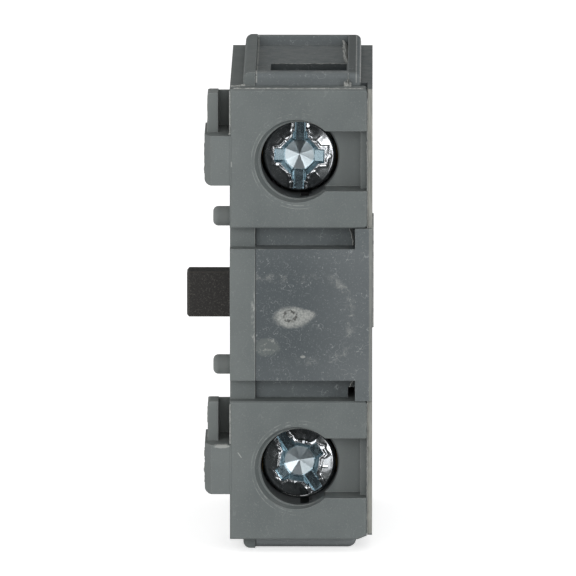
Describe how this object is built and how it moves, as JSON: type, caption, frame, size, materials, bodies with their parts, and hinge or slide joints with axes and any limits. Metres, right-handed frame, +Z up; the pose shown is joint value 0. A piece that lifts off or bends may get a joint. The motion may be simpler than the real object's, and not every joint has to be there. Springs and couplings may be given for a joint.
{
  "type": "auxiliary contact block",
  "caption": "Narrow moulded contact block with a sprung plunger, locating pegs and hooks on its mounting side, and two screw clamp terminals with wire entries at its ends.",
  "frame": {"origin": "on the plunger's axis, where it crosses the mounting face of the housing", "axes": "+X away from the mounting face into the housing, -Y towards the terminal screws, +Z up along the housing's length"},
  "size_m": [0.016, 0.028, 0.041],
  "materials": {
    "housing": "moulded, satin",
    "cover": "moulded, satin",
    "plunger": "moulded, dull",
    "zinc": "bright zinc plate",
    "strip_metal": "stamped",
    "contact_metal": "silver alloy",
    "spring_wire": "drawn wire"
  },
  "bodies": {
    "housing": {"mounting_shell": "housing", "cover_shell": "cover", "return_spring": "spring_wire", "upper_terminal_strip": "strip_metal", "lower_terminal_strip": "strip_metal", "upper_fixed_tip": "contact_metal", "lower_fixed_tip": "contact_metal", "upper_clamp_nut": "zinc", "lower_clamp_nut": "zinc"},
    "plunger": {"plunger": "plunger", "contact_spring": "spring_wire"},
    "bridge": {"contact_bridge": "strip_metal", "bridge_tip_upper": "contact_metal", "bridge_tip_lower": "contact_metal"},
    "upper_saddle": {"upper_clamp_saddle": "zinc"},
    "upper_screw": {"upper_terminal_screw": "zinc"},
    "lower_saddle": {"lower_clamp_saddle": "zinc"},
    "lower_screw": {"lower_terminal_screw": "zinc"}
  },
  "joints": [
    {"name": "plunger_slide", "type": "slide", "parent": "housing", "child": "plunger", "axis": [1, 0, 0], "range_m": [0, 0.0025], "stiffness_N_per_m": 300, "springref_m": -0.004, "deforming": ["return_spring", "contact_spring"]},
    {"name": "bridge_slide", "type": "slide", "parent": "housing", "child": "bridge", "axis": [1, 0, 0], "range_m": [0, 0.0017]},
    {"name": "upper_saddle_slide", "type": "slide", "parent": "housing", "child": "upper_saddle", "axis": [0, -1, 0], "range_m": [-0.00135, 0.0012]},
    {"name": "upper_screw_turn", "type": "hinge", "parent": "upper_saddle", "child": "upper_screw", "pos_m": [0.0059, 0, 0.0132], "axis": [0, -1, 0], "range_deg": [-810, 720]},
    {"name": "lower_saddle_slide", "type": "slide", "parent": "housing", "child": "lower_saddle", "axis": [0, -1, 0], "range_m": [-0.00135, 0.0012]},
    {"name": "lower_screw_turn", "type": "hinge", "parent": "lower_saddle", "child": "lower_screw", "pos_m": [0.0059, 0, -0.0132], "axis": [0, -1, 0], "range_deg": [-810, 720]}
  ],
  "couplings": [
    {"joint": "bridge_slide", "follows": "plunger_slide", "ratio": 0.68},
    {"joint": "upper_screw_turn", "follows": "upper_saddle_slide", "rad_per_m": 10472},
    {"joint": "lower_screw_turn", "follows": "lower_saddle_slide", "rad_per_m": 10472}
  ]
}
